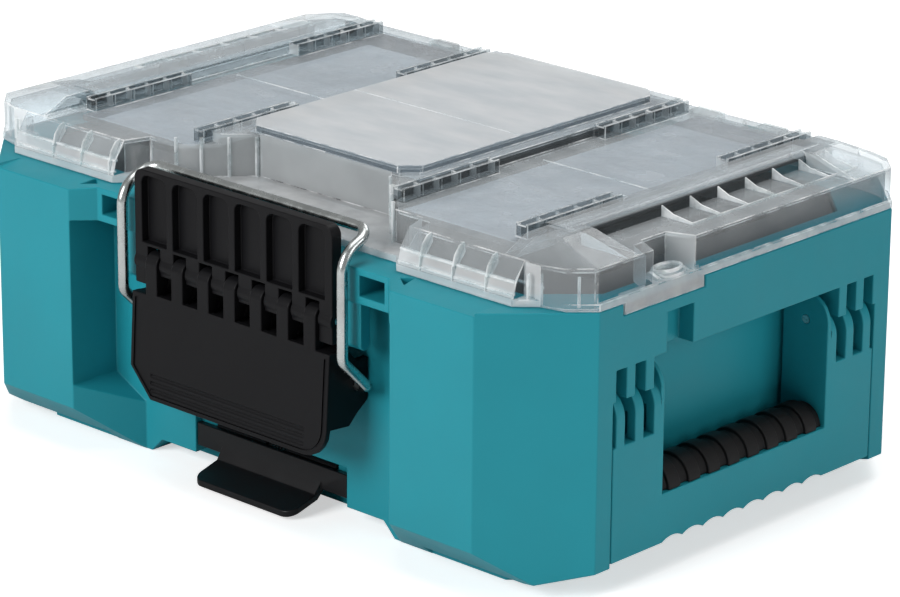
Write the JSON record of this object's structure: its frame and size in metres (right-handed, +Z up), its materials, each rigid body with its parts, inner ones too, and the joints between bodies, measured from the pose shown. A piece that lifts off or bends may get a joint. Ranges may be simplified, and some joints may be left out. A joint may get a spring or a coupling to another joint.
{
  "type": "saw blade storage case",
  "caption": "Stackable moulded case with a clear hinged lid, a wire draw latch, a fold-out side handle and a round well with a spindle for saw blades.",
  "frame": {"origin": "centre of the footprint, on the ground", "axes": "+X towards the carrying handle, -Y towards the latch, +Z up"},
  "size_m": [0.378, 0.276, 0.159],
  "materials": {
    "case_shell": "moulded, fine grain",
    "latch_black": "moulded, fine grain",
    "grip_rubber": "soft moulded ribs",
    "lid_clear": "clear, polished",
    "zinc_wire": "zinc plated",
    "pin_steel": "drawn",
    "spring_steel": "drawn",
    "screw_steel": "zinc plated",
    "post_steel": "turned",
    "pad_foam": "closed-cell foam skin",
    "insert_grey": "moulded, satin",
    "knob_black": "moulded, satin"
  },
  "bodies": {
    "case": {"case_body": "case_shell", "latch_plate": "latch_black", "latch_plate_screws": "screw_steel", "knuckle_pin": "pin_steel", "foot_latch_pin": "pin_steel", "foot_latch_spring": "spring_steel", "handle_pin_front": "pin_steel", "handle_pin_rear": "pin_steel", "lid_hinge_pin_left": "pin_steel", "lid_hinge_pin_right": "pin_steel", "insert_tray": "insert_grey", "insert_screws": "screw_steel", "blade_post": "post_steel"},
    "lid": {"lid_shell": "lid_clear", "lid_pad_left": "pad_foam", "lid_pad_right": "pad_foam", "lid_pad_centre": "pad_foam"},
    "lever": {"latch_lever": "latch_black"},
    "bail": {"wire_bail": "zinc_wire"},
    "foot_tab": {"foot_latch": "latch_black"},
    "side_handle": {"handle_frame": "case_shell", "handle_grip": "grip_rubber"},
    "knob": {"blade_knob": "knob_black"}
  },
  "joints": [
    {"name": "lid_hinge", "type": "hinge", "parent": "case", "child": "lid", "pos_m": [0, 0.131, 0.1363], "axis": [-1, 0, 0], "range_deg": [0, 105]},
    {"name": "lever_hinge", "type": "hinge", "parent": "case", "child": "lever", "pos_m": [0, -0.1295, 0.104], "axis": [-1, 0, 0], "range_deg": [0, 90]},
    {"name": "bail_hinge", "type": "hinge", "parent": "lever", "child": "bail", "pos_m": [0, -0.1175, 0.0715], "axis": [-1, 0, 0], "range_deg": [-50, 0]},
    {"name": "foot_hinge", "type": "hinge", "parent": "case", "child": "foot_tab", "pos_m": [0, -0.1035, 0.02], "axis": [-1, 0, 0], "range_deg": [0, 20], "stiffness_Nm_per_rad": 0.3, "springref_deg": -5.73},
    {"name": "handle_hinge", "type": "hinge", "parent": "case", "child": "side_handle", "pos_m": [0.176, 0, 0.086], "axis": [0, -1, 0], "range_deg": [0, 90]},
    {"name": "knob_turn", "type": "hinge", "parent": "case", "child": "knob", "pos_m": [0, 0, 0.108], "axis": [0, 0, 1], "range_deg": [-180, 180]}
  ],
  "couplings": [
    {"joint": "bail_hinge", "follows": "lever_hinge", "ratio": -0.53}
  ]
}
